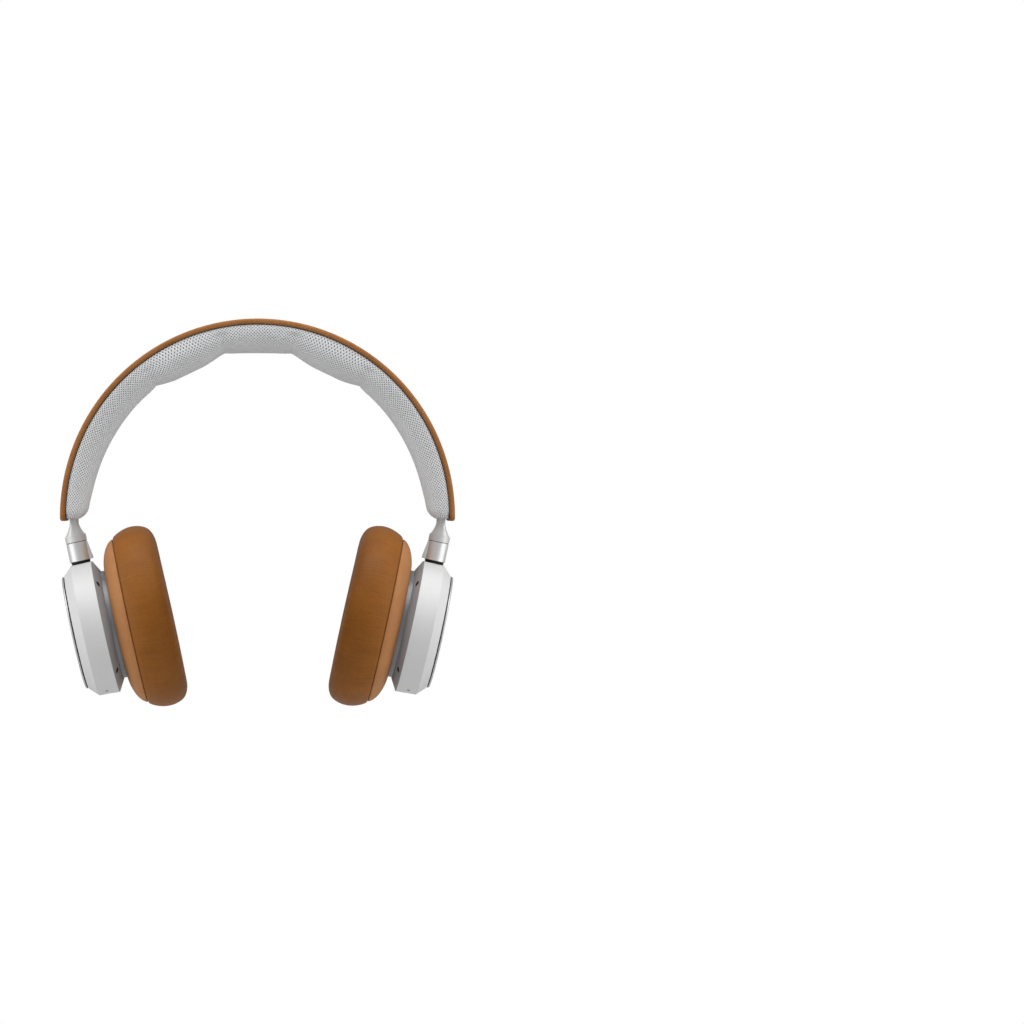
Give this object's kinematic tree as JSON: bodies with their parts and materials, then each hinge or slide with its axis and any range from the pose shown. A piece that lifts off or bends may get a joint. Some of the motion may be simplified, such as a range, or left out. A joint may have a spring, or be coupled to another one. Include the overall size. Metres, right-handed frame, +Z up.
{
  "type": "over-ear headphones",
  "caption": "Over-ear headphones: a half-round leather and knit headband with sliding arms, and round cups that swivel and tilt, with oval leather ear pads.",
  "frame": {"origin": "underside of the headband pad at the crown, where a head, a stand or a hook carries it", "axes": "+Z up, -Y the wearer's front, +X the wearer's left"},
  "size_m": [0.196, 0.0805, 0.1925],
  "materials": {
    "band_leather": "smooth vegetable tanned leather, satin, darker cut edges",
    "pad_leather": "soft lambskin, satin",
    "carrier_leather": "thin leather wrap, satin, lighter than the pad",
    "knit": "light grey open knit, matt",
    "ear_cloth": "black acoustic cloth, matt",
    "shell_aluminium": "fine bead blasted, clear anodised",
    "plate_aluminium": "circularly brushed, clear anodised",
    "barrel_aluminium": "turned and brushed, clear anodised",
    "arm_aluminium": "brushed along its length, clear anodised",
    "button_aluminium": "bead blasted, clear anodised",
    "black_plastic": "black, fine texture",
    "grey_plastic": "dark grey, fine texture",
    "jack_plastic": "black, satin",
    "driver_plastic": "black, glass filled",
    "cable_jacket": "black silicone",
    "spring_steel": "blued spring steel",
    "bracket_steel": "pressed sheet, zinc plated",
    "screw_steel": "zinc plated",
    "magnet_steel": "nickel plated",
    "socket_steel": "drawn stainless sleeve",
    "coil_copper": "enamelled copper wire",
    "cone_film": "thin pressed film",
    "circuit_green": "solder mask",
    "battery_foil": "silver pouch foil"
  },
  "bodies": {
    "headband": {"headband_cover": "band_leather", "headband_spring": "spring_steel", "headband_core": "black_plastic", "headband_cushion": "knit", "headband_cable": "cable_jacket", "left_arm_guide": "black_plastic", "right_arm_guide": "black_plastic", "detent_springs": "spring_steel", "headband_rivets": "screw_steel"},
    "left_arm": {"left_arm": "arm_aluminium", "left_swivel_shaft": "screw_steel", "left_swivel_clip": "spring_steel", "left_swivel_washer": "black_plastic"},
    "left_swivel": {"left_swivel_barrel": "barrel_aluminium", "left_tilt_lug": "black_plastic"},
    "left_cup": {"left_outer_shell": "shell_aluminium", "left_touch_plate": "plate_aluminium", "left_circuit_board": "circuit_green", "left_rear_cover": "shell_aluminium", "left_baffle": "grey_plastic", "left_cover_screws": "screw_steel", "left_driver_frame": "driver_plastic", "left_driver_magnet": "magnet_steel", "left_driver_cone": "cone_film", "left_voice_coil": "coil_copper", "left_ear_mesh": "ear_cloth", "left_pad_carrier": "carrier_leather", "left_ear_pad": "pad_leather", "left_tilt_pin": "screw_steel", "left_hinge_bracket": "bracket_steel", "left_bracket_screws": "screw_steel", "left_battery": "battery_foil", "left_jack_socket": "jack_plastic"},
    "right_arm": {"right_arm": "arm_aluminium", "right_swivel_shaft": "screw_steel", "right_swivel_clip": "spring_steel", "right_swivel_washer": "black_plastic"},
    "right_swivel": {"right_swivel_barrel": "barrel_aluminium", "right_tilt_lug": "black_plastic"},
    "right_cup": {"right_outer_shell": "shell_aluminium", "right_touch_plate": "plate_aluminium", "right_circuit_board": "circuit_green", "right_rear_cover": "shell_aluminium", "right_baffle": "grey_plastic", "right_cover_screws": "screw_steel", "right_driver_frame": "driver_plastic", "right_driver_magnet": "magnet_steel", "right_driver_cone": "cone_film", "right_voice_coil": "coil_copper", "right_ear_mesh": "ear_cloth", "right_pad_carrier": "carrier_leather", "right_ear_pad": "pad_leather", "right_tilt_pin": "screw_steel", "right_hinge_bracket": "bracket_steel", "right_bracket_screws": "screw_steel", "right_usb_socket": "socket_steel", "right_touch_board": "circuit_green"},
    "left_mode_button": {"left_mode_button": "button_aluminium"},
    "left_assistant_button": {"left_assistant_button": "button_aluminium"},
    "right_power_button": {"right_power_button": "button_aluminium"}
  },
  "joints": [
    {"name": "left_arm_slide", "type": "hinge", "parent": "headband", "child": "left_arm", "pos_m": [0, 0, -0.082], "axis": [0, 1, 0], "range_deg": [0, 12.5]},
    {"name": "left_cup_swivel", "type": "hinge", "parent": "left_arm", "child": "left_swivel", "pos_m": [0.08841, 0, -0.1038], "axis": [-0.2147, 0, -0.9767], "range_deg": [-8, 90]},
    {"name": "left_cup_tilt", "type": "hinge", "parent": "left_swivel", "child": "left_cup", "pos_m": [0.08723, 0, -0.10918], "axis": [0.0341, 0.9994, -0.0075], "range_deg": [-10, 10]},
    {"name": "right_arm_slide", "type": "hinge", "parent": "headband", "child": "right_arm", "pos_m": [0, 0, -0.082], "axis": [0, -1, 0], "range_deg": [0, 12.5]},
    {"name": "right_cup_swivel", "type": "hinge", "parent": "right_arm", "child": "right_swivel", "pos_m": [-0.08841, 0, -0.1038], "axis": [-0.2147, 0, 0.9767], "range_deg": [-8, 90]},
    {"name": "right_cup_tilt", "type": "hinge", "parent": "right_swivel", "child": "right_cup", "pos_m": [-0.08723, 0, -0.10918], "axis": [0.0341, -0.9994, 0.0075], "range_deg": [-10, 10]},
    {"name": "left_mode_button_press", "type": "slide", "parent": "left_cup", "child": "left_mode_button", "axis": [-0.0885, -0.9653, -0.2455], "range_m": [0, 0.0005], "stiffness_N_per_m": 400},
    {"name": "left_assistant_button_press", "type": "slide", "parent": "left_cup", "child": "left_assistant_button", "axis": [0.0227, -0.9653, 0.26], "range_m": [0, 0.0005], "stiffness_N_per_m": 400},
    {"name": "right_power_button_press", "type": "slide", "parent": "right_cup", "child": "right_power_button", "axis": [0.0341, -0.9994, 0.0075], "range_m": [0, 0.0005], "stiffness_N_per_m": 400}
  ]
}
